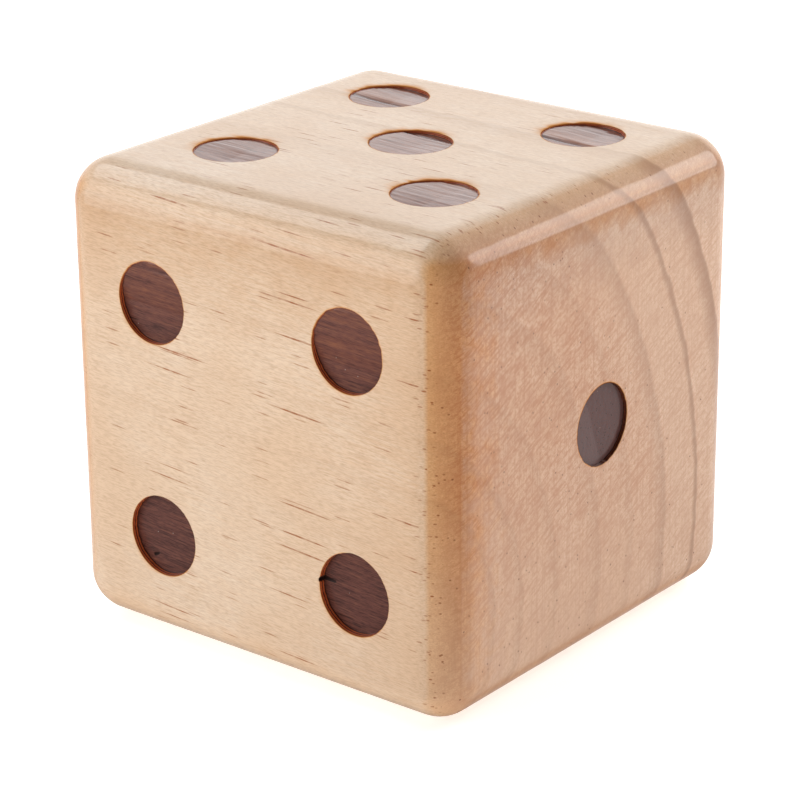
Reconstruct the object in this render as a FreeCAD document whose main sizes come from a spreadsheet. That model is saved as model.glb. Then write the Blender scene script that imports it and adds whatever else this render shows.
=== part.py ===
import FreeCAD, Part
import math
import os

import Sketcher

# A giant wooden yard die. One cube of solid pine with rounded edges carries 21 round recesses that a
# laser has burnt into it, and a thin layer of charred wood lines each recess and makes the dark pip.
#
# Frame: the die stands on its two, so the origin is the centre of that face. +Z goes up through the
# five, +X through the one and -Y through the four. Opposite faces add up to seven, and 1, 2 and 3
# run anticlockwise round their corner. Millimetres.

SIZES = {
    "side_length": 89.0,  # nominal four-by-four timber, planed: 3.5 inches
    "edge_radius": 8.0,  # the round on all twelve edges
    "pip_radius": 7.75,  # of the recess
    "pip_offset": 22.5,  # from the middle of the pattern to the outer pips, along each side
    "recess_depth": 1.8,  # from the face down to sound wood
    "char_wall": 0.3,  # charred layer on the side of a recess
    "char_floor": 0.5,  # charred layer on the bottom of a recess
}

# How far the laser's pattern is off the middle of each face, along the two axes of that face's sketch,
# and how far it is turned, in degrees anticlockwise about the sketch's normal. The block is set in its
# jig by hand, so the patterns are never quite central.
PATTERN_ERRORS = {
    "one": (0.7, 0.1, 0.0),
    "two": (0.0, 0.0, 0.0),
    "three": (0.0, 0.0, 0.0),
    "four": (1.0, -0.4, 1.0),
    "five": (0.7, 1.5, 0.7),
    "six": (0.0, 0.0, 0.0),
}

HALF_SIDE = "Sizes.side_length / 2"
AXES = "xyz"
EDGES_OF_A_CUBE = 12
SMALLEST_OVERLAP = 1e-3  # mm3

# Each face: its outward normal, the origin plane that its sketch lies on, the two axes of that plane,
# and its pips, each by its name and its place in pip offsets along those two axes.
FACES = {
    "one": {
        "normal": (1, 0, 0),
        "plane": "YZ_Plane",
        "across": "yz",
        "pips": {"centre": (0, 0)},
    },
    "two": {
        "normal": (0, 0, -1),
        "plane": "XY_Plane",
        "across": "xy",
        "pips": {"rear_left": (-1, 1), "front_right": (1, -1)},
    },
    "three": {
        "normal": (0, 1, 0),
        "plane": "XZ_Plane",
        "across": "xz",
        "pips": {"upper_left": (-1, 1), "centre": (0, 0), "lower_right": (1, -1)},
    },
    "four": {
        "normal": (0, -1, 0),
        "plane": "XZ_Plane",
        "across": "xz",
        "pips": {
            "upper_left": (-1, 1),
            "upper_right": (1, 1),
            "lower_left": (-1, -1),
            "lower_right": (1, -1),
        },
    },
    "five": {
        "normal": (0, 0, 1),
        "plane": "XY_Plane",
        "across": "xy",
        "pips": {
            "rear_left": (-1, 1),
            "rear_right": (1, 1),
            "centre": (0, 0),
            "front_left": (-1, -1),
            "front_right": (1, -1),
        },
    },
    "six": {
        "normal": (-1, 0, 0),
        "plane": "YZ_Plane",
        "across": "yz",
        "pips": {
            "upper_front": (-1, 1),
            "middle_front": (-1, 0),
            "lower_front": (-1, -1),
            "upper_rear": (1, 1),
            "middle_rear": (1, 0),
            "lower_rear": (1, -1),
        },
    },
}

# The way that the normal of a sketch on each origin plane points.
PLANE_NORMALS = {"XY_Plane": (0, 0, 1), "XZ_Plane": (0, -1, 0), "YZ_Plane": (1, 0, 0)}

ROOT = -1  # a sketch's own axes and origin, as Sketcher numbers them
V_AXIS = -2
START, END, CENTRE = 1, 2, 3  # points of a sketch element


def make_sizes(doc):
    sheet = doc.addObject("Spreadsheet::Sheet", "Sizes")
    cells = dict(SIZES)
    for face, (across, up, turn) in PATTERN_ERRORS.items():
        cells.update({f"{face}_across": across, f"{face}_up": up, f"{face}_turn": turn})
    for row, (name, value) in enumerate(cells.items(), start=1):
        sheet.set(f"A{row}", name)
        sheet.set(f"B{row}", str(value))
        sheet.setAlias(f"B{row}", name)
    doc.recompute()
    return sheet


def new_sketch(body, name, plane):
    """A sketch on one of the body's own origin planes."""
    sketch = body.newObject("Sketcher::SketchObject", name)
    origin_plane = next(p for p in body.Origin.OriginFeatures if p.Role == plane)
    sketch.AttachmentSupport = [(origin_plane, "")]
    sketch.MapMode = "FlatFace"
    return sketch


def bind(sketch, constraint, expression):
    index = sketch.addConstraint(constraint)
    sketch.setExpression(f"Constraints[{index}]", expression)


def place_point(sketch, geometry, point, expressions, signs):
    """Ties a point to the sketch's origin: sign times the expression along each sketch axis."""
    for kind, expression, sign in zip(("DistanceX", "DistanceY"), expressions, signs):
        if sign == 0:
            axis = V_AXIS if kind == "DistanceX" else ROOT
            sketch.addConstraint(Sketcher.Constraint("PointOnObject", geometry, point, axis))
            continue
        near, far = (ROOT, START), (geometry, point)
        if sign < 0:
            near, far = far, near
        bind(sketch, Sketcher.Constraint(kind, *near, *far, 1.0), expression)


def add_polygon(sketch, corners):
    """Closed straight outline. Returns the index of its first line; line i starts at corner i."""
    points = [FreeCAD.Vector(x, y, 0) for x, y in corners]
    lines = [Part.LineSegment(a, b) for a, b in zip(points, points[1:] + points[:1])]
    first = sketch.addGeometry(lines, False)[0]
    for i in range(len(lines)):
        following = first + (i + 1) % len(lines)
        sketch.addConstraint(Sketcher.Constraint("Coincident", first + i, END, following, START))
    return first


def pad_cube(body):
    sketch = new_sketch(body, "CubeOutline", "XY_Plane")
    half = SIZES["side_length"] / 2
    corners = ((-1, -1), (1, -1), (1, 1), (-1, 1))
    first = add_polygon(sketch, [(half * u, half * v) for u, v in corners])
    for i, signs in enumerate(corners):
        place_point(sketch, first + i, START, (HALF_SIDE, HALF_SIDE), signs)
    pad = body.newObject("PartDesign::Pad", "Cube")
    pad.Profile = sketch
    pad.setExpression("Length", "Sizes.side_length")
    return pad


def round_edges(doc, body, cube):
    rounds = body.newObject("PartDesign::Fillet", "RoundedEdges")
    rounds.Base = (cube, [f"Edge{i + 1}" for i in range(EDGES_OF_A_CUBE)])
    rounds.setExpression("Radius", "Sizes.edge_radius")
    doc.recompute()
    return rounds


def pip_place(face_name, spot):
    """A pip's place on its sketch's two axes: as numbers, and as expressions of the sheet's cells."""
    column, row = spot
    across, up, turn = PATTERN_ERRORS[face_name]
    cosine, sine = math.cos(math.radians(turn)), math.sin(math.radians(turn))
    offset = SIZES["pip_offset"]
    place = (
        across + offset * (column * cosine - row * sine),
        up + offset * (column * sine + row * cosine),
    )
    angle = f"Sizes.{face_name}_turn"
    sideways = f"({column} * cos({angle}) - ({row}) * sin({angle}))"
    upward = f"({column} * sin({angle}) + ({row}) * cos({angle}))"
    expressions = (
        f"Sizes.{face_name}_across + Sizes.pip_offset * {sideways}",
        f"Sizes.{face_name}_up + Sizes.pip_offset * {upward}",
    )
    return place, expressions


def burn_recesses(body, name, face):
    """The recesses of one face, as one pocket of circles."""
    sketch = new_sketch(body, f"Pips_{name}", face["plane"])
    outward = face["normal"] == PLANE_NORMALS[face["plane"]]
    if face["plane"] == "XY_Plane":
        if outward:
            sketch.setExpression("AttachmentOffset.Base.z", "Sizes.side_length")
    else:
        sketch.setExpression("AttachmentOffset.Base.y", HALF_SIDE)
        sketch.setExpression("AttachmentOffset.Base.z", HALF_SIDE if outward else f"-{HALF_SIDE}")
    for spot in face["pips"].values():
        place, expressions = pip_place(name, spot)
        circle = Part.Circle(FreeCAD.Vector(*place, 0), FreeCAD.Vector(0, 0, 1), SIZES["pip_radius"])
        index = sketch.addGeometry(circle, False)
        for kind, value, expression in zip(("DistanceX", "DistanceY"), place, expressions):
            distance = Sketcher.Constraint(kind, ROOT, START, index, CENTRE, value)
            bind(sketch, distance, expression)
        bind(sketch, Sketcher.Constraint("Radius", index, 1.0), "Sizes.pip_radius")
    pocket = body.newObject("PartDesign::Pocket", f"Recesses_{name}")
    pocket.Profile = sketch
    pocket.Reversed = not outward
    pocket.setExpression("Length", "Sizes.recess_depth")
    return pocket


def make_block(doc):
    body = doc.addObject("PartDesign::Body", "Block")
    body.Label = "pine_block"
    cube = pad_cube(body)
    doc.recompute()
    round_edges(doc, body, cube)
    for name, face in FACES.items():
        burn_recesses(body, name, face)
    doc.recompute()
    return body


def make_pip(doc, face_name, pip_name):
    """The charred layer of one recess: a shallow cup, turned about its own Z, mouth up."""
    face = FACES[face_name]
    body = doc.addObject("PartDesign::Body", f"Pip_{face_name}_{pip_name}")
    body.Label = f"pip_{face_name}_{pip_name}"
    sketch = new_sketch(body, f"Section_{face_name}_{pip_name}", "XZ_Plane")
    radius, depth = SIZES["pip_radius"], SIZES["recess_depth"]
    inner, floor = radius - SIZES["char_wall"], SIZES["char_floor"]
    outer_x, inner_x = "Sizes.pip_radius", "Sizes.pip_radius - Sizes.char_wall"
    rim_z, floor_z = "Sizes.recess_depth", "Sizes.char_floor"
    section = (
        ((0, 0), (0, 0), (outer_x, rim_z)),
        ((radius, 0), (1, 0), (outer_x, rim_z)),
        ((radius, depth), (1, 1), (outer_x, rim_z)),
        ((inner, depth), (1, 1), (inner_x, rim_z)),
        ((inner, floor), (1, 1), (inner_x, floor_z)),
        ((0, floor), (0, 1), (outer_x, floor_z)),
    )
    first = add_polygon(sketch, [corner for corner, _, _ in section])
    for i, (_, signs, expressions) in enumerate(section):
        place_point(sketch, first + i, START, expressions, signs)
    turned = body.newObject("PartDesign::Revolution", f"Char_{face_name}_{pip_name}")
    turned.Profile = sketch
    turned.ReferenceAxis = (sketch, ["V_Axis"])
    turned.Angle = 360.0
    place_pip(body, face_name, pip_name)
    return body


def place_pip(body, face_name, pip_name):
    """Stands the cup on the bottom of its recess, mouth outward."""
    face = FACES[face_name]
    normal = face["normal"]
    body.Placement.Rotation = FreeCAD.Rotation(FreeCAD.Vector(0, 0, 1), FreeCAD.Vector(*normal))
    _, expressions = pip_place(face_name, face["pips"][pip_name])
    steps = dict(zip(face["across"], expressions))
    for axis, out in zip(AXES, normal):
        centre_of_die = HALF_SIDE if axis == "z" else "0"
        outward = f"{out} * ({HALF_SIDE} - Sizes.recess_depth)"
        across = steps.get(axis, "0")
        body.setExpression(f"Placement.Base.{axis}", f"{centre_of_die} + {outward} + {across}")


def check(doc, block, pips):
    """Stops on a failed object, an unsound shape, or a piece that isn't where it should be."""
    failed = [o.Name for o in doc.Objects if {"Invalid", "Error"} & set(o.State)]
    if failed:
        raise RuntimeError(f"these objects failed to build: {failed}")
    for body in [block, *pips]:
        if body.Shape.isNull() or not body.Shape.isValid() or len(body.Shape.Solids) != 1:
            raise RuntimeError(f"{body.Label} is not one valid solid")
    side, edge = SIZES["side_length"], SIZES["edge_radius"]
    flat = side - 2 * edge
    rounded = flat**3 + 6 * flat**2 * edge + 3 * math.pi * flat * edge**2
    rounded += 4 / 3 * math.pi * edge**3
    recess = math.pi * SIZES["pip_radius"] ** 2 * SIZES["recess_depth"]
    expected = rounded - len(pips) * recess
    if abs(block.Shape.Volume - expected) > 1e-4 * expected:
        raise RuntimeError(f"the block holds {block.Shape.Volume} mm3 and not {expected}")
    for pip in pips:
        if block.Shape.common(pip.Shape).Volume > SMALLEST_OVERLAP:
            raise RuntimeError(f"{pip.Label} cuts into the block")
    whole = block.Shape.fuse([pip.Shape for pip in pips])
    box = whole.BoundBox
    if max(abs(box.XLength - side), abs(box.YLength - side), abs(box.ZLength - side)) > 1e-3:
        raise RuntimeError(f"the die measures {box} and not {side} mm each way")
    print(f"block {block.Shape.Volume:.0f} mm3, {len(pips)} pips of {pips[0].Shape.Volume:.1f} mm3")


def main():
    doc = FreeCAD.newDocument("YardDie")
    make_sizes(doc)
    block = make_block(doc)
    pips = [make_pip(doc, face, pip) for face in FACES for pip in FACES[face]["pips"]]
    doc.recompute()
    check(doc, block, pips)
    os.makedirs("parts", exist_ok=True)
    for body in [block, *pips]:
        body.Shape.exportStep(f"parts/{body.Label}.step")


main()
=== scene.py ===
import math
from collections import namedtuple
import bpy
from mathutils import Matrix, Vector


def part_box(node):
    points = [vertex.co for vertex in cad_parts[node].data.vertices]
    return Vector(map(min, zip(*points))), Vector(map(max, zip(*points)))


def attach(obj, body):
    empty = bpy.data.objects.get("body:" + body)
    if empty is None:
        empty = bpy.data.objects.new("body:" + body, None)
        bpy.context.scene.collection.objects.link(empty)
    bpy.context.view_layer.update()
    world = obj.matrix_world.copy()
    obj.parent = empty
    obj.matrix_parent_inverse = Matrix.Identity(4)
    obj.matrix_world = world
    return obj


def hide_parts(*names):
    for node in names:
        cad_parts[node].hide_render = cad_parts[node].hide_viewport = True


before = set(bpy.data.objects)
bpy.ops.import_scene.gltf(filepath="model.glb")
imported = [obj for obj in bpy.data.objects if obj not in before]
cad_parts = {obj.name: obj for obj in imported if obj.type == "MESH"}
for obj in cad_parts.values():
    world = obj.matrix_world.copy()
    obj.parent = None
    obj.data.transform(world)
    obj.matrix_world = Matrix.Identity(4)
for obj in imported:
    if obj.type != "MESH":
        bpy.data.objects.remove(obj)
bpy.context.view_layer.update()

from types import SimpleNamespace

import bmesh
import bpy
from mathutils import Matrix, Vector, noise

# The looks of a giant wooden yard die: a cube of pale, lacquered pine with rounded edges, and 21 pips
# burnt into it by a laser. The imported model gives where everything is, in metres. The wood is one solid
# pattern all through the block: its fibres run nearly along X, and its growth rings are cylinders round
# a pith that lies just outside the -Y face, so the +X and -X faces are end grain. Places in the wood
# (rings, streaks and how deep the laser bites) are worked out in millimetres.

MM = 0.001
LOW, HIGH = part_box("pine_block")
CENTRE = (LOW + HIGH) / 2
HALF = (HIGH.x - LOW.x) / 2
EDGE_RADIUS = 8.0 * MM
FLAT = HALF - EDGE_RADIUS  # from the centre of a face to where its rounded edge starts

# ---------------------------------------------------------------------------------------- the wood

PITH_Y, PITH_Z = -60.0, 18.5
RING_SQUASH = 0.93  # how far a ring reaches in Y, as a share of how far it reaches in Z
FIBRE_SLOPE_Y, FIBRE_SLOPE_Z = 0.010, 0.060  # the fibres climb this much for each mm towards -X
TRUNK_TAPER = 0.02  # rings narrow by this much for each mm towards -X
END_X = 44.5  # the plane that the climb and the taper are counted from

# How the fibres wander: by how much, over what length and width of the wood, all in mm, and how far
# apart the noise for Y and the noise for Z are.
WANDERS = ((0.9, 55, 30, 7.0), (0.15, 14, 5, 9.0))

# Growth rings: where each ends, how broad its dark part is, and how dark it gets.
RINGS = (
    (20.0, 2.0, 0.16),
    (28.5, 2.0, 0.26),
    (36.5, 2.5, 0.24),
    (47.0, 3.0, 0.20),
    (60.2, 5.0, 0.24),
    (70.5, 4.0, 0.16),
    (81.5, 4.5, 0.48),
    (92.3, 1.4, 1.00),
    (102.5, 4.2, 1.00),
    (116.0, 4.0, 0.60),
)
RING_END = 0.5  # the width over which a ring's dark end turns pale again
GROWTH_SPAN = 130.0  # the rings' colour ramp reaches this far from the pith
DRAWN_OUT = 18  # streaks along the fibres are this many times longer than wide

# How deep the laser bites, in mm, at a distance from the pith: deeper in soft wood than in hard. In the
# outer rings the bite gets shallower towards a ring's end, and is at once deeper in the next.
BITES = (
    (0.0, 1.30),
    (20.0, 1.30),
    (34.0, 1.15),
    (43.5, 1.10),
    (46.0, 0.55),
    (48.5, 0.16),
    (53.0, 0.20),
    (64.0, 0.85),
    (73.0, 0.75),
    (75.0, 0.42),
    (81.3, 0.32),
    (82.0, 0.55),
    (84.0, 0.40),
    (92.0, 0.32),
    (92.5, 0.85),
    (95.0, 0.60),
    (102.2, 0.34),
    (102.7, 1.05),
    (104.3, 0.62),
    (113.0, 0.68),
    (115.8, 0.50),
    (116.5, 1.00),
)

# How light the char is at a distance from the pith: 0 is the darkest char and 1.1 the lightest. The dark
# dips at 81.7, 92.5, 102.6 and 116.2 mm, where the bite steps deeper, are partly char and partly painted
# shade in the groove at the foot of each step.
CHAR_TONES_AND_GROOVE_SHADE = (
    (0.0, 0.28),
    (20.0, 0.32),
    (40.0, 0.34),
    (45.0, 0.50),
    (49.8, 0.45),
    (50.1, 0.05),
    (50.4, 0.50),
    (53.0, 0.60),
    (57.0, 0.50),
    (61.0, 0.35),
    (70.0, 0.60),
    (80.0, 0.75),
    (81.7, 0.20),
    (83.0, 0.80),
    (91.8, 0.70),
    (92.5, 0.10),
    (94.5, 1.00),
    (101.5, 0.75),
    (102.6, 0.00),
    (104.2, 1.10),
    (107.0, 0.75),
    (116.2, 0.20),
)


def along(table, position):
    """Straight-line interpolation in a table of (position, value)."""
    for (start, before), (end, after) in zip(table, table[1:]):
        if position <= end:
            share = max(0.0, (position - start) / (end - start))
            return before + (after - before) * share
    return table[-1][1]


def wood_place(point):
    """A point's place in the wood, in mm: along the fibres, and across them in Y and Z."""
    x, y, z = point / MM
    run = x - END_X
    across = Vector((y + FIBRE_SLOPE_Y * run, z + FIBRE_SLOPE_Z * run))
    for i in range(2):
        for amount, length, width, apart in WANDERS:
            place = Vector((x / length, y / width, z / width + apart * i))
            across[i] += amount * noise.noise(place)
    return run, across[0], across[1]


def growth_radius(point):
    """How far from the pith a point grew, in mm, as the table of rings has it."""
    run, y, z = wood_place(point)
    return math.hypot(y - PITH_Y, RING_SQUASH * (z - PITH_Z)) - TRUNK_TAPER * run


def fibre_noise(point, coarse):
    """Noise drawn out along the fibres, from -1 to 1. coarse is its width across them, in mm."""
    run, y, z = wood_place(point)
    return noise.noise(Vector((run / (DRAWN_OUT * coarse), y / coarse, z / coarse)))


def fibre_ridges(point, ridges):
    """A sum of fibre noises, each given by its height and its width across the fibres."""
    return sum(height * fibre_noise(point, width) for height, width in ridges)


# ------------------------------------------------------------------------------- faces and their pips

Face = namedtuple("Face", "name normal across up smoke scorch_towards slow_start")
Pip = namedtuple("Pip", "node face centre radius depth")

EAST, NORTH, UP = Vector((1, 0, 0)), Vector((0, 1, 0)), Vector((0, 0, 1))

# smoke and scorch_towards: how much of the laser's smoke stained the face round its pips, and the way
# that it was blown, across and up the face. slow_start: how much shallower the laser bites where each
# of its lines across a pip begins.
FACES = (
    Face("one", EAST, NORTH, UP, 0.35, Vector((-0.50, 0.87)), 0.0),
    Face("six", -EAST, -NORTH, UP, 0.45, Vector((0.60, -0.80)), 0.2),
    Face("three", NORTH, -EAST, UP, 0.60, Vector((0.80, 0.60)), 0.4),
    Face("four", -NORTH, EAST, UP, 0.40, Vector((-0.60, -0.80)), 0.0),
    Face("five", UP, EAST, NORTH, 1.00, Vector((-0.75, 0.66)), 0.8),
    Face("two", -UP, EAST, -NORTH, 0.60, Vector((-0.80, -0.60)), 0.4),
)

# Small damage to the char: a crack or a bit of black slag, from one place to another across and up from
# the middle of the pip, and its width, all in mm. A crack that starts past the rim splits it.
CRACKS = {
    "pip_four_lower_right": ((-8.2, 0.9), (-5.4, 0.6), 0.62),
    "pip_four_lower_left": ((-3.5, -5.0), (-2.5, -4.5), 0.42),
    "pip_three_centre": ((2.1, 3.4), (3.2, 3.2), 0.30),
    "pip_six_lower_rear": ((7.2, 3.0), (5.4, 2.6), 0.30),
}


def find_pips():
    """Every pip node, with its face, the centre of its mouth, and its recess's radius and depth."""
    pips = []
    for node in sorted(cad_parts):
        if not node.startswith("pip_"):
            continue
        low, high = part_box(node)
        middle, size = (low + high) / 2, high - low
        face = max(FACES, key=lambda f: (middle - CENTRE).dot(f.normal))
        depth = abs(size.dot(face.normal))
        mouth = middle + face.normal * depth / 2
        pips.append(Pip(node, face, mouth, max(size) / 2, depth))
    return pips


def flat_place(face, point):
    """Where a point is on a face, across and up from the middle."""
    return Vector(((point - CENTRE).dot(face.across), (point - CENTRE).dot(face.up)))


def find_patterns():
    """Each face's pattern of pips: where its middle is on the face, the angle it is turned by, and how
    far its outer pips are from its middle. The block isn't held quite square to the laser, so the first
    two aren't zero on every face. Outer pips lie at a multiple of 45 degrees from a face's axes."""
    patterns = {}
    for face in FACES:
        places = [flat_place(face, pip.centre) for pip in PIPS if pip.face is face]
        middle = sum(places, Vector((0, 0))) / len(places)
        arm = max((place - middle for place in places), key=lambda arm: arm.length)
        turn = 0.0
        if len(places) > 1:
            angle = math.degrees(math.atan2(arm.y, arm.x))
            turn = angle - 45 * round(angle / 45)
        patterns[face.name] = (middle, math.radians(turn), arm.length)
    return patterns


PIPS = find_pips()
PATTERNS = find_patterns()
PITCH = max(reach for _, _, reach in PATTERNS.values()) / math.sqrt(2)


# -------------------------------------------------------------------------------------- mesh helpers

COINCIDENT = 0.001 * MM
SHARP_ANGLE = math.radians(50)


class Surface:
    """Points and faces of one mesh, with a few numbers kept for each point."""

    def __init__(self, *kept):
        self.points, self.polygons = [], []
        self.kept = {name: [] for name in kept}

    def point(self, place, **numbers):
        self.points.append(place)
        for name, values in self.kept.items():
            values.append(numbers.get(name, 0.0))
        return len(self.points) - 1

    def band(self, outer, inner):
        """Joins two closed rings. The inner one has as many points as the outer, or twice as many."""
        count, steps = len(outer), len(inner) // len(outer)
        for i in range(count):
            j = (i + 1) % count
            a, b = inner[i * steps], inner[j * steps]
            if steps == 1:
                self.polygons.append((outer[i], outer[j], b, a))
            else:
                middle = inner[i * steps + 1]
                self.polygons.append((outer[i], outer[j], middle))
                self.polygons.append((outer[j], b, middle))
                self.polygons.append((outer[i], middle, a))

    def build(self, name):
        """The object, with coincident points joined, and shaded smooth but for its sharp edges."""
        mesh = bpy.data.meshes.new(name)
        mesh.from_pydata(self.points, [], self.polygons)
        for kept, values in self.kept.items():
            mesh.attributes.new(kept, "FLOAT", "POINT").data.foreach_set("value", values)
        work = bmesh.new()
        work.from_mesh(mesh)
        bmesh.ops.remove_doubles(work, verts=work.verts, dist=COINCIDENT)
        work.to_mesh(mesh)
        work.free()
        mesh.shade_smooth()
        mesh.set_sharp_from_angle(angle=SHARP_ANGLE)
        piece = bpy.data.objects.new(name, mesh)
        bpy.context.scene.collection.objects.link(piece)
        return piece


def ring_angles(count):
    """The angles of a ring's points, from the lower left corner of a square round it."""
    return [math.radians(-135 + 360 * i / count) for i in range(count)]


def on_face(pip, angle, radius, depth):
    """A point of a pip, from its angle and radius in the plane of the face and its depth below it."""
    sideways = pip.face.across * math.cos(angle) + pip.face.up * math.sin(angle)
    return pip.centre + sideways * radius - pip.face.normal * depth


def cracked(pip, point):
    """1 in the pip's crack, if it has one, and 0 away from it."""
    if pip.node not in CRACKS:
        return 0.0
    start, end, width = CRACKS[pip.node]
    start, end = Vector(start), Vector(end)
    place = (flat_place(pip.face, point) - flat_place(pip.face, pip.centre)) / MM
    share = (place - start).dot(end - start) / (end - start).length_squared
    nearest = start.lerp(end, max(0.0, min(1.0, share)))
    taper = 1 - 0.5 * max(0.0, min(1.0, share))
    return max(0.0, 1 - (place - nearest).length / (width * taper)) ** 0.5


RIM_RAGS = ((0.11, 0.8), (0.05, 0.3))  # how much the fibres fray the rim, and how broadly, in mm
RIM_PINCH = 0.16  # mm that the rim stands in where the laser hardly bites
RIM_SPLIT = 0.35  # mm that a crack opens the rim


def rim_radius(pip, angle):
    """A pip's radius at an angle: ragged, and pinched in where hard latewood meets the rim."""
    rim = on_face(pip, angle, pip.radius, 0)
    late = max(0.0, 1 - along(BITES, growth_radius(rim)))
    rag = fibre_ridges(rim, RIM_RAGS) - RIM_PINCH * late
    rag += RIM_SPLIT * cracked(pip, rim)
    return pip.radius + rag * MM


# --------------------------------------------------------------------------------------- the pine block

CELL_STEPS = 16  # quads along the side of a pip's square
ROUND_STEPS = 8  # quads from a flat to the middle of a rounded edge
BORDER_STEPS = 2  # quads between the pips' squares and the rounded edge
RING_POINTS = 16 * CELL_STEPS  # points round a pip
HALO_GAPS = (2.6, 1.9, 1.3, 0.85, 0.55, 0.35, 0.20)  # mm from a rim to the rings that scorch is drawn on
SQUARE_SHARES = (0.4, 0.75)  # of the way from a pip's square to the outermost ring
RIM_ROUND = 0.04 * MM
EDGE_WEAR = 0.30 * MM
WEAR_SIZES = (9 * MM, 2.5 * MM)  # of the dents along the edges, coarse and fine

# The smoke's stain: its strength, its reach in mm, the least that it reaches, and the size of the
# patches that its reach varies in. Then the singed line at the rim: how dark it is, how much darker on
# the side of the smoke, and how wide it is in mm.
SMOKE_STRENGTH = 1.15
SMOKE_REACH = 1.3
SMOKE_SHORTEST = 0.10
SMOKE_SIZE = 2.2 * MM
RIM_SINGE, RIM_SINGE_LEAN, RIM_SINGE_WIDTH = 0.60, 0.20, 0.06


def grid_lines():
    """Where the lines of a face's grid lie. Past FLAT they are spread evenly over the rounded edge."""
    outer = [-FLAT - EDGE_RADIUS * (1 - i / ROUND_STEPS) for i in range(ROUND_STEPS)]
    border = FLAT - 1.5 * PITCH
    outer += [-FLAT + border * i / BORDER_STEPS for i in range(BORDER_STEPS)]
    inner = [(i / CELL_STEPS - 1.5) * PITCH for i in range(3 * CELL_STEPS + 1)]
    return outer + inner + [-line for line in reversed(outer)]


def follow_pattern(face, s, t):
    """Shifts and turns the middle of a face's grid with its pips, and leaves its border alone."""
    middle, turn, _ = PATTERNS[face.name]
    share = (FLAT - max(abs(s), abs(t))) / (FLAT - 1.5 * PITCH)
    share = max(0.0, min(1.0, share))
    moved = Matrix.Rotation(turn * share, 2) @ Vector((s, t)) + middle * share
    return moved.x, moved.y


def block_point(face, s, t):
    """The point of the block above (s, t) on a face: flat, then round the edge, which is a little worn."""
    s, t = follow_pattern(face, s, t)
    lean = []
    for value in (s, t):
        share = max(0.0, abs(value) - FLAT) / EDGE_RADIUS
        lean.append(math.copysign(math.tan(share * math.pi / 4), value))
    outward = (face.across * lean[0] + face.up * lean[1] + face.normal).normalized()
    held = [max(-FLAT, min(FLAT, value)) for value in (s, t)]
    inner = CENTRE + face.across * held[0] + face.up * held[1] + face.normal * FLAT
    roundness = 1 - max(map(abs, outward))
    place = inner + outward * EDGE_RADIUS
    coarse, fine = (noise.noise(place / size) for size in WEAR_SIZES)
    wear = 0.5 + 0.5 * coarse + 0.25 * fine
    return place - outward * EDGE_WEAR * max(0.0, wear) * roundness


def scorch_at(pip, angle, radius):
    """How scorched the face is near a pip, from 0 to 1: mostly on the side the smoke was blown to."""
    gap = max(0.0, (radius - pip.radius) / MM)
    place = on_face(pip, angle, radius, 0)
    side = pip.face.scorch_towards.dot((math.cos(angle), math.sin(angle)))
    reach = 0.8 + 0.5 * fibre_noise(place, 0.9) + 0.5 * noise.noise(place / SMOKE_SIZE)
    reach = max(SMOKE_SHORTEST, SMOKE_REACH * pip.face.smoke * reach)
    smoke = SMOKE_STRENGTH * pip.face.smoke * max(0.0, side - 0.05) * math.exp(-gap / reach)
    rim = (RIM_SINGE + RIM_SINGE_LEAN * side) * math.exp(-gap / RIM_SINGE_WIDTH)
    return min(1.0, rim + smoke)


def make_recess(surface, pip, square):
    """The rings from a pip's square in to its recess, and the recess down to sound wood."""
    outermost = pip.radius + HALO_GAPS[0] * MM
    angles = ring_angles(len(square))
    previous = square
    for share in SQUARE_SHARES:
        ring = []
        for corner, angle in zip(square, angles):
            place = surface.points[corner].lerp(on_face(pip, angle, outermost, 0), share)
            ring.append(surface.point(place, growth=growth_radius(place)))
        surface.band(previous, ring)
        previous = ring
    rings = [(pip.radius + gap * MM, None, 0.0) for gap in HALO_GAPS]
    rings += [(None, RIM_ROUND, 0.0), (None, 0.3 * RIM_ROUND, 0.3 * RIM_ROUND)]
    rings += [(None, 0.0, RIM_ROUND), (None, 0.0, pip.depth)]
    for radius, beyond_rim, depth in rings:
        count = min(2 * len(previous), RING_POINTS) if radius != outermost else len(square)
        ring = []
        for angle in ring_angles(count):
            reach = radius if beyond_rim is None else rim_radius(pip, angle) + beyond_rim
            place = on_face(pip, angle, reach, depth)
            numbers = {"growth": growth_radius(place), "scorch": scorch_at(pip, angle, reach)}
            ring.append(surface.point(place, **numbers))
        surface.band(previous, ring)
        previous = ring
    surface.polygons.append(tuple(previous))


def make_block():
    """The whole block: a grid on each face, with a recess in each square that holds a pip."""
    surface = Surface("growth", "scorch")
    lines = grid_lines()
    start = ROUND_STEPS + BORDER_STEPS
    for face in FACES:
        squares = {}
        for pip in PIPS:
            if pip.face is face:
                offset = flat_place(face, pip.centre)
                column, row = round(offset.x / PITCH) + 1, round(offset.y / PITCH) + 1
                squares[column, row] = pip
        grid = []
        for t in lines:
            places = [block_point(face, s, t) for s in lines]
            grid.append([surface.point(place, growth=growth_radius(place)) for place in places])
        for j in range(len(lines) - 1):
            for i in range(len(lines) - 1):
                cell = ((i - start) // CELL_STEPS, (j - start) // CELL_STEPS)
                if cell not in squares:
                    quad = (grid[j][i], grid[j][i + 1], grid[j + 1][i + 1], grid[j + 1][i])
                    surface.polygons.append(quad)
        for (column, row), pip in squares.items():
            left, low = start + column * CELL_STEPS, start + row * CELL_STEPS
            right, high = left + CELL_STEPS, low + CELL_STEPS
            square = [grid[low][i] for i in range(left, right)]
            square += [grid[j][right] for j in range(low, high)]
            square += [grid[high][i] for i in range(right, left, -1)]
            square += [grid[j][left] for j in range(high, low, -1)]
            make_recess(surface, pip, square)
    return surface.build("block_looks")


# --------------------------------------------------------------------------------- the charred linings

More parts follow.
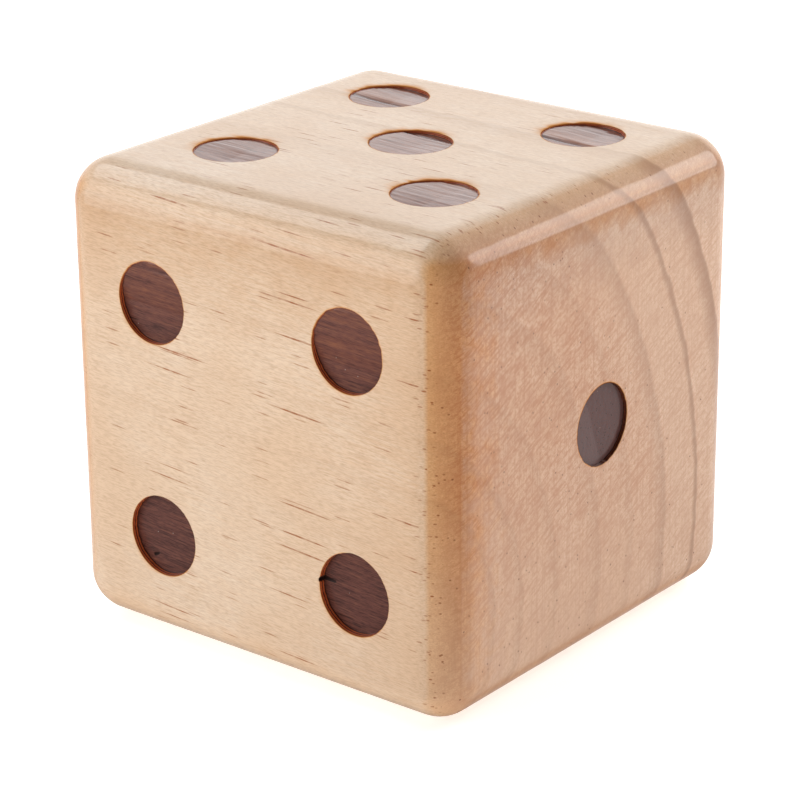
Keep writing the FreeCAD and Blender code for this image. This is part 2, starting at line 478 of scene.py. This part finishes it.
FLOOR_STEPS = RING_POINTS // 4  # quads along the square that is bent into a pip's round floor
CHAR_WALL = 0.06 * MM
WALL_LEAN = 0.08 * MM  # the bottom of the wall stands this much further in than the top
FIT = 0.004 * MM  # keeps the char's hidden side off the block's
WALL_DEPTHS = (0.16, 0.30, 0.44, 0.58, 0.72, 0.86, 0.96)  # rows of the wall, as shares of its height
WALL_RIPPLE = 0.02 * MM
RIPPLES_ROUND, RIPPLES_DOWN = 40, 9  # the noise's steps for each radian of the wall, and down its height
END_WALL_SOOT = 0.75  # walls along the fibres, under the end grain, are this much blacker
FLOOR_RIDGES = ((0.05, 1.1), (0.03, 0.42))  # how high the fibres stand up in the floor, and how wide, in mm
END_FLOOR_SMOOTH = 0.7  # ridges are this much lower where the floor is end grain
SLOW_START_RATE = 1.7  # the slow start is over at 1 / this of the way across a pip
CRACK_DEPTH = 0.12 * MM
SHALLOWEST = 3 * RIM_ROUND


def bite_depth(pip, place):
    """How deep the laser went, with the ridges that the fibres leave."""
    depth = along(BITES, growth_radius(place))
    begun = 0.5 + 0.5 * (place - pip.centre).dot(pip.face.across) / pip.radius
    depth *= 1 - pip.face.slow_start * max(0.0, 1 - SLOW_START_RATE * begun)
    depth += fibre_ridges(place, FLOOR_RIDGES) * (1 - END_FLOOR_SMOOTH * abs(pip.face.normal.x))
    return max(SHALLOWEST, depth * MM)


def disc_place(pip, a, b):
    """A point of the floor, from its place on a square from -1 to 1: squares become circles."""
    reach = max(abs(a), abs(b))
    if reach == 0:
        return pip.centre.copy()
    if abs(a) >= abs(b):
        angle = math.pi / 4 * b / a + (math.pi if a < 0 else 0)
    else:
        angle = math.pi / 2 - math.pi / 4 * a / b + (math.pi if b < 0 else 0)
    radius = reach * (rim_radius(pip, angle) - CHAR_WALL - WALL_LEAN)
    return on_face(pip, angle, radius, 0)


def make_lining(pip):
    """A closed cup of char: floor with its ridges, striped wall, rim, and the side that nobody sees."""
    surface = Surface("growth", "wall", "sink", "crack", "brown")
    outward = pip.face.normal
    brown = 1 - END_WALL_SOOT * abs(outward.x)
    grid = []
    for j in range(FLOOR_STEPS + 1):
        row = []
        for i in range(FLOOR_STEPS + 1):
            place = disc_place(pip, 2 * i / FLOOR_STEPS - 1, 2 * j / FLOOR_STEPS - 1)
            crack = cracked(pip, place)
            depth = bite_depth(pip, place) + CRACK_DEPTH * crack
            row.append(surface.point(place - outward * depth, growth=growth_radius(place), crack=crack))
        grid.append(row)
    for j in range(FLOOR_STEPS):
        for i in range(FLOOR_STEPS):
            quad = (grid[j][i], grid[j][i + 1], grid[j + 1][i + 1], grid[j + 1][i])
            surface.polygons.append(quad)
    edge = [grid[0][i] for i in range(FLOOR_STEPS)]
    edge += [grid[j][FLOOR_STEPS] for j in range(FLOOR_STEPS)]
    edge += [grid[FLOOR_STEPS][i] for i in range(FLOOR_STEPS, 0, -1)]
    edge += [grid[j][0] for j in range(FLOOR_STEPS, 0, -1)]

    angles = ring_angles(RING_POINTS)
    rims = [rim_radius(pip, angle) - FIT for angle in angles]
    floors = [bite_depth(pip, on_face(pip, angle, rim, 0)) for angle, rim in zip(angles, rims)]
    previous = edge
    for share in reversed(WALL_DEPTHS):
        ring = []
        for angle, rim, floor in zip(angles, rims, floors):
            waves = Vector((RIPPLES_ROUND * angle, RIPPLES_DOWN * share, pip.centre.x / MM))
            ripple = WALL_RIPPLE * noise.noise(waves)
            radius = rim - CHAR_WALL - ripple - WALL_LEAN * share**3
            place = on_face(pip, angle, radius, floor * share)
            numbers = {"growth": growth_radius(place), "crack": cracked(pip, place)}
            ring.append(surface.point(place, wall=1.0, sink=share, brown=brown, **numbers))
        surface.band(ring, previous)
        previous = ring
    profile = ((0.5 * CHAR_WALL, 0.9 * RIM_ROUND), (0.0, 1.1 * RIM_ROUND), (0.0, pip.depth - FIT))
    for inset, depth in profile:
        ring = []
        for angle, rim in zip(angles, rims):
            place = on_face(pip, angle, rim - inset, depth)
            ring.append(surface.point(place, growth=growth_radius(place), wall=1.0, brown=brown))
        surface.band(ring, previous)
        previous = ring
    surface.polygons.append(tuple(reversed(previous)))
    return surface.build(pip.node + "_looks")


# -------------------------------------------------------------------------------------------- materials


class Graph:
    """The nodes of a material or a world, with a short call for each kind that is needed."""

    def __init__(self, owner):
        owner.use_nodes = True
        self.tree = owner.node_tree

    def node(self, kind, inputs, **settings):
        node = self.tree.nodes.new("ShaderNode" + kind)
        for name, value in settings.items():
            setattr(node, name, value)
        for key, value in inputs.items():
            self.feed(node.inputs[key], value)
        return node

    def feed(self, socket, value):
        if isinstance(value, bpy.types.NodeSocket):
            self.tree.links.new(value, socket)
        else:
            socket.default_value = value

    def math(self, operation, *values):
        return self.node("Math", dict(enumerate(values)), operation=operation).outputs[0]

    def plus(self, a, b):
        return self.math("ADD", a, b)

    def times(self, a, b):
        return self.math("MULTIPLY", a, b)

    def larger(self, a, b):
        return self.math("MAXIMUM", a, b)

    def vector(self, operation, a, b):
        return self.node("VectorMath", {0: a, 1: b}, operation=operation).outputs["Vector"]

    def scaled(self, vector, scale):
        inputs = {0: vector, "Scale": scale}
        return self.node("VectorMath", inputs, operation="SCALE").outputs["Vector"]

    def parts(self, vector):
        """The X, Y and Z of a vector."""
        return self.node("SeparateXYZ", {0: vector}).outputs

    def noise(self, vector, scale, detail=2.0, roughness=0.5):
        inputs = {"Vector": vector, "Scale": scale, "Detail": detail, "Roughness": roughness}
        return self.node("TexNoise", inputs).outputs["Fac"]

    def cells(self, vector, scale):
        """Distance to the nearest of some scattered points, and a random number for that point."""
        node = self.node("TexVoronoi", {"Vector": vector, "Scale": scale})
        pick = self.node("SeparateColor", {"Color": node.outputs["Color"]}).outputs["Red"]
        return node.outputs["Distance"], pick

    def spread(self, value, low, high, to_low=0.0, to_high=1.0):
        """Maps low..high to to_low..to_high, and holds it there."""
        inputs = {0: value, 1: low, 2: high, 3: to_low, 4: to_high}
        return self.node("MapRange", inputs, clamp=True).outputs[0]

    def mix(self, factor, a, b, blend="MIX"):
        node = self.node("Mix", {}, data_type="RGBA", blend_type=blend)
        for socket, value in zip((node.inputs[0], node.inputs[6], node.inputs[7]), (factor, a, b)):
            self.feed(socket, value)
        return node.outputs[2]

    def darken_towards(self, factor, colour, tint):
        """The colour darkened towards that tint, for real staining and for painted shade."""
        return self.mix(factor, colour, self.mix(1.0, colour, tint, "MULTIPLY"))

    def ramp(self, value, stops):
        """A ramp of greys through (position, grey)."""
        node = self.node("ValToRGB", {"Fac": value})
        elements = node.color_ramp.elements
        while len(elements) < len(stops):
            elements.new(0.5)
        for element, (position, grey) in zip(elements, stops):
            element.position = position
        for element, (position, grey) in zip(elements, stops):
            element.color = (grey, grey, grey, 1)
        return node.outputs["Color"]

    def kept(self, name):
        """A number that the mesh keeps for each point."""
        return self.node("Attribute", {}, attribute_name=name).outputs["Fac"]

    def bump(self, height, distance):
        inputs = {"Height": height, "Distance": distance, "Strength": 1.0}
        return self.node("Bump", inputs).outputs["Normal"]


def new_material(name):
    """A material, its graph and its shader's inputs."""
    material = bpy.data.materials.new(name)
    graph = Graph(material)
    return material, graph, graph.tree.nodes["Principled BSDF"].inputs


def set_lacquer(inputs, roughness):
    """A clear coat of that roughness."""
    inputs["IOR"].default_value = 1.28  # little is mirrored at the wood under its lacquer
    inputs["Coat Roughness"].default_value = roughness
    inputs["Coat IOR"].default_value = 1.5


def ring_stops():
    """The rings as stops of a ramp: each darkens slowly and ends at once."""
    stops = [(0.0, 0.0)]
    for end, breadth, dark in RINGS:
        stops.append(((end - breadth) / GROWTH_SPAN, 0.05 * dark))
        stops.append((end / GROWTH_SPAN, dark))
        stops.append(((end + RING_END) / GROWTH_SPAN, 0.0))
    return stops


def wood_space(graph):
    """The place in the wood of what is shaded, in mm, with X along the fibres; its place in the die,
    in mm; the surface's normal; and how far the surface there is end grain."""
    coordinates = graph.node("TexCoord", {})
    place = graph.scaled(coordinates.outputs["Object"], 1 / MM)
    parts = graph.parts(place)
    run = graph.math("SUBTRACT", parts["X"], END_X)
    y = graph.math("MULTIPLY_ADD", run, FIBRE_SLOPE_Y, parts["Y"])
    z = graph.math("MULTIPLY_ADD", run, FIBRE_SLOPE_Z, parts["Z"])
    fibres = graph.node("CombineXYZ", {0: run, 1: y, 2: z}).outputs[0]
    normal = graph.parts(coordinates.outputs["Normal"])
    end_grain = graph.spread(graph.math("ABSOLUTE", normal["X"]), 0.35, 0.9)
    return fibres, place, normal, end_grain


def streaks_of(graph, fibres, length, width, detail=3.0):
    """Noise in streaks along the fibres, of that length and width in mm."""
    space = graph.vector("MULTIPLY", fibres, (1 / length, 1 / width, 1 / width))
    return graph.noise(space, 1.0, detail, 0.6)


def dashes(graph, fibres, length, width, often):
    """Short streaks along the fibres, which are dots on end grain."""
    space = graph.vector("MULTIPLY", fibres, (1 / length, 1 / width, 1 / width))
    distance, pick = graph.cells(space, 1.0)
    chosen = graph.math("GREATER_THAN", pick, graph.math("SUBTRACT", 1.0, often))
    return graph.times(graph.spread(distance, 0.27, 0.17), chosen)


PALE = (0.830, 0.665, 0.510, 1)
WARM = (0.765, 0.550, 0.375, 1)
LATEWOOD = (0.460, 0.270, 0.150, 1)
LATEWOOD_END = (0.350, 0.190, 0.120, 1)
RESIN = (0.400, 0.150, 0.060, 1)
PORE = (0.280, 0.140, 0.085, 1)
AMBER = (0.640, 0.270, 0.070, 1)
SINGED = (0.200, 0.050, 0.013, 1)
END_TINT = (0.920, 0.805, 0.770, 1)
END_RED = (0.545, 0.300, 0.200, 1)
SCRATCH = (0.530, 0.265, 0.155, 1)
TAN_TINT = (0.910, 0.660, 0.400, 1)
# The tint of the painted shade under the top and on the slanting cut below the top edge.
PAINTED_SHADE_TINT = (0.790, 0.820, 0.880, 1)

SANDER_ANGLE = math.radians(-28)  # of the sander's scratches across the end grain
PINE_RELIEF = 0.04 * MM


def study_pine(graph):
    """The patterns and measures that the pine's colours and relief are made of, one socket each."""
    pine = SimpleNamespace()
    pine.fibres, pine.place, pine.normal, pine.end_grain = wood_space(graph)
    pine.sides = graph.parts(pine.place)
    pine.side_grain = graph.math("SUBTRACT", 1.0, pine.end_grain)
    pine.growth = graph.kept("growth")
    wander = graph.spread(graph.noise(pine.place, 0.22, 1.0), 0.3, 0.7, -0.30, 0.30)
    frayed = graph.plus(pine.growth, wander)
    pine.rings = graph.ramp(graph.math("DIVIDE", frayed, GROWTH_SPAN), ring_stops())

    # edge: 1 on a rounded edge. oblique: 1 where a rounded edge cuts the fibres at a slant.
    pine.tilt = {axis: graph.math("ABSOLUTE", pine.normal[axis]) for axis in "XYZ"}
    flatness = graph.larger(graph.larger(pine.tilt["X"], pine.tilt["Y"]), pine.tilt["Z"])
    pine.edge = graph.spread(flatness, 0.998, 0.90)
    past_sides = graph.spread(pine.tilt["X"], 0.08, 0.42)
    pine.oblique = graph.times(past_sides, graph.spread(pine.tilt["X"], 0.998, 0.92))

    pine.cloudy = graph.noise(pine.place, 0.035, 3.0)
    pine.fine = streaks_of(graph, pine.fibres, 9, 0.50)
    pine.finest = streaks_of(graph, pine.fibres, 1.6, 0.20, 2.0)
    pine.mottle = graph.noise(pine.place, 0.30, 4.0, 0.6)
    turned = graph.node("Mapping", {"Vector": pine.place, "Rotation": (SANDER_ANGLE, 0, 0)}).outputs[0]
    pine.scratches = graph.noise(graph.vector("MULTIPLY", turned, (1, 0.26, 2.3)), 1.0, 4.0, 0.75)
    return pine


def colour_side_grain(graph, pine):
    """Pale wood, warmer in clouds and patches, and darker in fine streaks."""
    colour = graph.mix(graph.spread(pine.cloudy, 0.35, 0.68), PALE, WARM)
    colour = graph.mix(graph.spread(pine.fine, 0.40, 0.70, 0.0, 0.75), colour, WARM)
    colour = graph.mix(graph.spread(pine.mottle, 0.45, 0.75, 0.0, 0.50), colour, WARM)
    return graph.mix(graph.spread(pine.finest, 0.40, 0.75, 0.0, 0.50), colour, LATEWOOD)


def colour_end_grain(graph, pine, colour):
    """Darker and pinker than side grain, mottled, and marked by the sander and the saw. Painted light makes
    it paler low down and far from the pith."""
    saw_marks = graph.noise(graph.vector("MULTIPLY", pine.place, (0.2, 1.9, 0.02)), 1.0, 3.0, 0.7)
    grit = graph.noise(pine.place, 1.3, 3.0, 0.65)
    blush = graph.spread(pine.cloudy, 0.30, 0.6, 0.2, 0.6)
    blush = graph.times(graph.spread(pine.mottle, 0.42, 0.70), blush)
    colour = graph.mix(1.0, colour, END_TINT, "MULTIPLY")
    colour = graph.mix(blush, colour, END_RED)
    colour = graph.mix(graph.spread(pine.scratches, 0.50, 0.57, 0.0, 0.75), colour, SCRATCH)
    colour = graph.mix(graph.spread(saw_marks, 0.50, 0.60, 0.0, 0.40), colour, SCRATCH)
    colour = graph.mix(graph.spread(grit, 0.45, 0.62, 0.0, 0.60), colour, SCRATCH)
    # Painted light: the end grain is made paler low down and far from the pith.
    paler = graph.spread(pine.sides["Z"], 45.0, 5.0, 0.0, 0.30)
    paler = graph.larger(paler, graph.spread(pine.growth, 68, 84, 0.0, 0.24))
    return graph.mix(paler, colour, PALE)


def add_rings(graph, pine, colour):
    """Draws the growth rings, which are plainest on end grain and on slanting cuts."""
    latewood = graph.mix(pine.end_grain, LATEWOOD, LATEWOOD_END)
    across = graph.larger(pine.end_grain, pine.oblique)
    strength = graph.times(pine.rings, graph.spread(across, 0.0, 1.0, 0.34, 0.75))
    return graph.mix(strength, colour, latewood)


def find_canals(graph, pine):
    """Resin canals, long and short: many near the pith and few further out."""
    often = graph.spread(pine.growth, 68, 95, 0.20, 0.04)
    often = graph.times(often, graph.spread(pine.end_grain, 0.0, 1.0, 1.0, 0.12))
    long_dashes = dashes(graph, pine.fibres, 30.0, 0.75, often)
    elsewhere = graph.vector("ADD", pine.fibres, (31, 17, 5))
    short_dashes = dashes(graph, elsewhere, 9.0, 0.60, often)
    return graph.larger(long_dashes, graph.times(short_dashes, 0.7))


def add_canals(graph, pine, colour, canals):
    """Draws the canals: orange resin on side grain, and dark pores on end grain."""
    patchy = graph.spread(graph.noise(pine.place, 0.6, 2.0), 0.35, 0.6, 0.45, 1.0)
    canal_colour = graph.mix(pine.end_grain, RESIN, PORE)
    return graph.mix(graph.times(canals, patchy), colour, canal_colour)


def add_stains(graph, pine, colour):
    """The lacquer's own staining, and painted shade. Edges that cut the fibres at a slant drink most of the
    staining; so does the end grain next to its heart side and its top. The browning of all rounded edges is
    partly staining and partly painted shade, less where they face up. Painted shade tans the side grain
    under the top and next to the +X end, and also greys that side grain, the end grain under the top and
    the slanting cut between them."""
    up = pine.normal["Z"]
    heart = graph.plus(pine.sides["Y"], graph.spread(pine.mottle, 0.3, 0.7, -5.0, 5.0))
    heart = graph.spread(heart, -30.0, -41.0, 0.0, 0.9)
    upper = graph.plus(pine.sides["Z"], graph.spread(pine.mottle, 0.3, 0.7, -1.5, 1.5))
    ends = graph.times(graph.larger(heart, graph.spread(upper, 79.5, 83.5, 0.0, 0.85)), pine.end_grain)

    # Browning of every rounded edge: partly real staining, partly painted shade, weaker on edges that face
    # up.
    edges = graph.times(pine.edge, graph.spread(pine.cloudy, 0.3, 0.7, 0.20, 0.40))
    edges = graph.times(edges, graph.spread(up, 0.50, 0.80, 1.0, 0.30))
    soaked = graph.times(pine.oblique, graph.spread(up, 0.50, 0.68, 1.0, 0.50))
    edges = graph.larger(edges, graph.times(soaked, pine.edge))

    # Painted shade: side grain tanned under the top and next to the +X end.
    next_to_end = graph.spread(pine.sides["X"], 8.0, 38.0, 0.0, 0.38)
    painted_shade_sides = graph.larger(graph.spread(upper, 62.0, 84.0, 0.0, 0.55), next_to_end)
    painted_shade_sides = graph.times(painted_shade_sides, graph.spread(pine.tilt["Z"], 0.5, 0.2))
    painted_shade_sides = graph.times(painted_shade_sides, pine.side_grain)

    # tan joins real staining of end grain and slanting cuts with painted shade on the rounded edges, in
    # part, and on the side grain.
    tan = graph.larger(graph.larger(edges, painted_shade_sides), ends)
    tan = graph.times(tan, graph.spread(pine.sides["Z"], 8.0, 45.0, 0.55, 1.0))
    colour = graph.darken_towards(tan, colour, TAN_TINT)

    # Painted shade greys the end grain under the top, the side grain tanned as painted shade above, and the
    # slanting cut between them.
    shaded_slant = graph.times(graph.spread(up, 0.08, 0.25), graph.spread(up, 0.56, 0.46))
    shaded_slant = graph.times(shaded_slant, graph.spread(pine.tilt["Y"], 0.40, 0.15))
    shaded_slant = graph.times(shaded_slant, pine.oblique)
    grey = graph.times(graph.spread(upper, 70.0, 82.0, 0.0, 0.60), pine.end_grain)
    grey = graph.larger(shaded_slant, graph.larger(grey, graph.times(painted_shade_sides, 0.9)))
    return graph.darken_towards(grey, colour, PAINTED_SHADE_TINT)


def find_pine_relief(graph, pine, canals):
    """How high the surface stands: grain, rings, canals, scratches on end grain, and the fine chatter
    marks that the sander leaves across the long rounds."""
    relief = graph.times(pine.fine, 0.5)
    relief = graph.plus(relief, graph.times(pine.finest, 0.25))
    relief = graph.plus(relief, graph.times(pine.rings, 0.6))
    relief = graph.math("SUBTRACT", relief, graph.times(canals, 0.25))
    relief = graph.plus(relief, graph.times(graph.times(pine.scratches, pine.end_grain), 0.5))
    chatter = graph.noise(graph.vector("MULTIPLY", pine.place, (1.1, 0.04, 0.04)), 1.0, 1.0)
    chatter = graph.times(graph.times(chatter, pine.edge), pine.side_grain)
    return graph.plus(relief, graph.times(chatter, 0.9))


def make_pine():
    """The wood of the block under its lacquer."""
    material, graph, inputs = new_material("lacquered_pine")
    pine = study_pine(graph)
    colour = colour_side_grain(graph, pine)
    colour = graph.mix(pine.end_grain, colour, colour_end_grain(graph, pine, colour))
    colour = add_rings(graph, pine, colour)
    canals = find_canals(graph, pine)
    colour = add_canals(graph, pine, colour, canals)
    colour = add_stains(graph, pine, colour)

    # Smoke stains the wood round the pips and eats its lacquer.
    scorch = graph.kept("scorch")
    colour = graph.mix(graph.spread(scorch, 0.05, 0.6, 0.0, 0.95), colour, AMBER)
    colour = graph.mix(graph.spread(scorch, 0.4, 0.85, 0.0, 0.9), colour, SINGED)
    graph.feed(inputs["Base Color"], colour)
    graph.feed(inputs["Coat Weight"], graph.spread(scorch, 0.03, 0.4, 0.60, 0.0))
    graph.feed(inputs["Specular IOR Level"], graph.spread(scorch, 0.03, 0.4, 0.5, 0.0))

    rough = graph.spread(pine.fine, 0.3, 0.7, 0.34, 0.48)
    graph.feed(inputs["Roughness"], graph.plus(rough, graph.times(pine.end_grain, 0.06)))
    relief = find_pine_relief(graph, pine, canals)
    graph.feed(inputs["Normal"], graph.bump(relief, PINE_RELIEF))
    set_lacquer(inputs, 0.10)
    return material


CHAR_DARK = (0.050, 0.017, 0.013, 1)
CHAR_BROWN = (0.145, 0.048, 0.035, 1)
CHAR_LIGHT = (0.310, 0.112, 0.050, 1)
CHAR_END = (0.090, 0.058, 0.058, 1)
SOOT = (0.020, 0.008, 0.006, 1)
ASH = (0.450, 0.380, 0.330, 1)
WALL_BROWN = (0.640, 0.125, 0.035, 1)
CHAR_RELIEF = 0.03 * MM

# How brown the wall is, from its rim to the floor: each pass of the laser leaves a line.
WALL_TONES = (
    (0.0, 0.3),
    (0.15, 0.9),
    (0.32, 1.0),
    (0.40, 0.05),
    (0.50, 0.05),
    (0.58, 1.0),
    (0.74, 0.8),
    (0.84, 0.05),
)


def make_char():
    """The burnt wood: streaks on the floor, lines on the wall, and black in a crack."""
    material, graph, inputs = new_material("charred_pine")
    fibres, place, _, end_grain = wood_space(graph)
    growth = graph.math("DIVIDE", graph.kept("growth"), GROWTH_SPAN)
    # The ramp's dark dips at the bite's steps are partly painted shade in the grooves.
    tone = graph.ramp(growth, [(at / GROWTH_SPAN, light) for at, light in CHAR_TONES_AND_GROOVE_SHADE])
    streaks = streaks_of(graph, fibres, 9, 0.35)
    fine = streaks_of(graph, fibres, 1.5, 0.15, 2.0)
    speckle = graph.noise(place, 4.0, 3.0, 0.7)

    tone = graph.plus(tone, graph.spread(streaks, 0.30, 0.70, -0.22, 0.22))
    tone = graph.plus(tone, graph.spread(fine, 0.30, 0.70, -0.22, 0.22))
    colour = graph.mix(graph.spread(tone, 0.0, 0.42), CHAR_DARK, CHAR_BROWN)
    colour = graph.mix(graph.spread(tone, 0.42, 1.1), colour, CHAR_LIGHT)
    ends = graph.mix(graph.spread(speckle, 0.30, 0.70), CHAR_BROWN, CHAR_END)
    colour = graph.mix(end_grain, colour, ends)
    flecks = dashes(graph, fibres, 8.0, 0.50, 0.09)
    colour = graph.mix(graph.times(flecks, 0.8), colour, SOOT)
    distance, pick = graph.cells(place, 1.1)
    ashes = graph.times(graph.spread(distance, 0.13, 0.07), graph.math("GREATER_THAN", pick, 0.975))
    colour = graph.mix(graph.times(ashes, 0.7), colour, ASH)

    wall = graph.kept("wall")
    passes = graph.ramp(graph.kept("sink"), WALL_TONES)
    passes = graph.times(passes, graph.spread(streaks, 0.35, 0.6, 0.65, 1.0))
    passes = graph.times(passes, graph.kept("brown"))
    colour = graph.mix(wall, colour, graph.mix(passes, SOOT, WALL_BROWN))
    crack = graph.spread(graph.kept("crack"), 0.1, 0.5)
    colour = graph.mix(crack, colour, SOOT)
    graph.feed(inputs["Base Color"], colour)

    # The lacquer is whole on the floor, thin on the wall and gone in a crack.
    bare = graph.larger(crack, graph.times(wall, 0.7))
    graph.feed(inputs["Coat Weight"], graph.math("SUBTRACT", 1.0, bare))
    graph.feed(inputs["Roughness"], graph.spread(streaks, 0.3, 0.7, 0.50, 0.36))
    relief = graph.plus(graph.times(streaks, 0.6), graph.times(fine, 0.4))
    relief = graph.plus(relief, graph.times(speckle, 0.15))
    graph.feed(inputs["Normal"], graph.bump(relief, CHAR_RELIEF))
    set_lacquer(inputs, 0.12)
    return material


# --------------------------------------------------------------------------- studio: floor, light, camera

CAMERA_AZIMUTH, CAMERA_ELEVATION, CAMERA_ROLL = (math.radians(a) for a in (38.69, 21.07, 0.50))
CAMERA_DISTANCE = 559.5 * MM
CAMERA_SIDE, CAMERA_LIFT = -0.83 * MM, -4.99 * MM
LENS = 134.76  # mm, on a 36 mm sensor
LAMP_DISTANCE = 0.8  # from the die's centre, in m
STUDIO_RADIUS = 2.5


def camera_axes():
    """Unit vectors from the die to the camera, to the camera's right, and up in its view."""
    a, e = CAMERA_AZIMUTH, CAMERA_ELEVATION
    back = Vector((math.sin(a) * math.cos(e), -math.cos(a) * math.cos(e), math.sin(e)))
    right = Vector((math.cos(a), math.sin(a), 0))
    turn = Matrix.Rotation(-CAMERA_ROLL, 3, back)
    right = turn @ right
    return back, right, back.cross(right)


def make_camera():
    """The camera, where the photograph was taken from."""
    back, right, up = camera_axes()
    camera = bpy.data.objects.new("camera", bpy.data.cameras.new("camera"))
    camera.data.lens = LENS
    camera.data.clip_start, camera.data.clip_end = 0.01, 4 * STUDIO_RADIUS
    place = CENTRE + back * CAMERA_DISTANCE + right * CAMERA_SIDE + up * CAMERA_LIFT
    turned = Matrix((right, up, back)).transposed().to_4x4()
    camera.matrix_world = Matrix.Translation(place) @ turned
    bpy.context.scene.collection.objects.link(camera)
    bpy.context.scene.camera = camera


def make_softbox(name, towards, size, power, tint=(1, 1, 1)):
    """A square area light in that direction from the die, facing it."""
    light = bpy.data.lights.new(name, "AREA")
    light.shape = "SQUARE"
    light.size = size
    light.energy = power
    light.color = tint
    lamp = bpy.data.objects.new(name, light)
    direction = Vector(towards).normalized()
    lamp.location = CENTRE + direction * LAMP_DISTANCE
    lamp.rotation_euler = direction.to_track_quat("Z", "Y").to_euler()
    bpy.context.scene.collection.objects.link(lamp)
    return lamp


def make_lights():
    """Soft light on the four and over the top, a fill on the one, and two lights behind the die: a
    broad one that the lacquer doesn't mirror, and a strip that only the lacquer mirrors."""
    make_softbox("softbox_left", (-0.55, -0.80, 0.28), 0.7, 3.45)
    behind = make_softbox("softbox_behind", (0.38, 0.77, 0.46), 0.5, 4.7, (1.0, 0.95, 0.925))
    behind.visible_glossy = False
    strip = make_softbox("strip_behind", (0.50, 0.77, 0.37), 0.30, 1.3)
    strip.visible_diffuse = False
    make_softbox("softbox_edge", (-0.58, -0.10, 0.81), 0.45, 2.2)
    fill = make_softbox("fill", (0.80, -0.60, 0.05), 0.7, 1.45)
    fill.visible_glossy = False


# How bright the room is, from behind the die (-1) to behind the camera (1), where a black card hangs.
ROOM = ((-1.0, 1.36), (-0.3, 0.45), (0.2, 0.12), (1.0, 0.06))

# How much of that is left underfoot and overhead: between which heights, from -1 straight down to 1
# straight up, it changes, and the share at each of them.
UNDERFOOT = (-0.70, -0.38, 0.12, 1.0)
OVERHEAD = (0.44, 0.60, 1.0, 0.55)


def make_world():
    """A pale room, bright behind the die and dark on the camera's side, overhead and underfoot."""
    world = bpy.data.worlds.new("studio")
    graph = Graph(world)
    direction = graph.node("TexCoord", {}).outputs["Generated"]
    back, _, _ = camera_axes()
    level = Vector((back.x, back.y, 0)).normalized()
    facing = graph.node("VectorMath", {0: direction, 1: level}, operation="DOT_PRODUCT").outputs["Value"]
    brightest = max(light for _, light in ROOM)
    stops = [((at + 1) / 2, light / brightest) for at, light in ROOM]
    height = graph.parts(direction)["Z"]
    left = graph.times(graph.spread(height, *UNDERFOOT), graph.spread(height, *OVERHEAD))
    background = graph.tree.nodes["Background"].inputs
    graph.feed(background["Color"], graph.ramp(graph.spread(facing, -1.0, 1.0), stops))
    graph.feed(background["Strength"], graph.times(left, brightest))
    bpy.context.scene.world = world


def ring_of(surface, radius, height, count=96):
    """A level ring of a surface's points round the world's Z."""
    places = [(radius * math.cos(a), radius * math.sin(a), height) for a in ring_angles(count)]
    return [surface.point(Vector(place)) for place in places]


FLOOR_RINGS = (STUDIO_RADIUS, 1.6, 0.8, 0.3)

# The floor's glow: metres from the die where it starts and stops growing, and its strength there.
FLOOR_GLOW = (0.35, 0.65, 0.55, 1.0)


def make_floor():
    """A pale acrylic table top, faintly lit from below. The lacquer doesn't mirror it."""
    surface = Surface()
    rings = [ring_of(surface, radius, 0.0) for radius in FLOOR_RINGS]
    for outer, inner in zip(rings, rings[1:]):
        surface.band(outer, inner)
    surface.polygons.append(tuple(rings[-1]))
    floor = surface.build("floor")
    floor.visible_glossy = False
    material, graph, inputs = new_material("white_table")
    inputs["Base Color"].default_value = (0.90, 0.90, 0.90, 1)
    inputs["Roughness"].default_value = 0.6
    inputs["Emission Color"].default_value = (1, 1, 1, 1)
    place = graph.node("TexCoord", {}).outputs["Object"]
    reach = graph.node("VectorMath", {0: place}, operation="LENGTH").outputs["Value"]
    graph.feed(inputs["Emission Strength"], graph.spread(reach, *FLOOR_GLOW))
    floor.data.materials.append(material)


DOME_ROWS = 24
DOME_LOW, DOME_HIGH = -20, 89.9  # degrees above the horizon of its first and last rows


def make_backdrop():
    """A white dome that only the camera sees, so that it lights nothing."""
    surface = Surface()
    rings = []
    for i in range(DOME_ROWS + 1):
        tilt = math.radians(DOME_LOW + (DOME_HIGH - DOME_LOW) * i / DOME_ROWS)
        rings.append(ring_of(surface, STUDIO_RADIUS * math.cos(tilt), STUDIO_RADIUS * math.sin(tilt)))
    for lower, upper in zip(rings, rings[1:]):
        surface.band(lower, upper)
    dome = surface.build("backdrop")
    dome.visible_diffuse = False
    dome.visible_glossy = False
    dome.visible_transmission = False
    dome.visible_volume_scatter = False
    dome.visible_shadow = False
    material, _, inputs = new_material("white_backdrop")
    inputs["Base Color"].default_value = (0, 0, 0, 1)
    inputs["Emission Color"].default_value = (1, 1, 1, 1)
    inputs["Emission Strength"].default_value = 1.0
    dome.data.materials.append(material)


# ------------------------------------------------------------------------------------------ the whole die


def put(piece, material, node):
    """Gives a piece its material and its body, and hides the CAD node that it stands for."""
    piece.data.materials.append(material)
    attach(piece, "root")
    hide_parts(node)


make_camera()
make_lights()
make_world()
make_floor()
make_backdrop()
bpy.context.scene.view_settings.view_transform = "Standard"

pine, char = make_pine(), make_char()
put(make_block(), pine, "pine_block")
for pip in PIPS:
    put(make_lining(pip), char, pip.node)
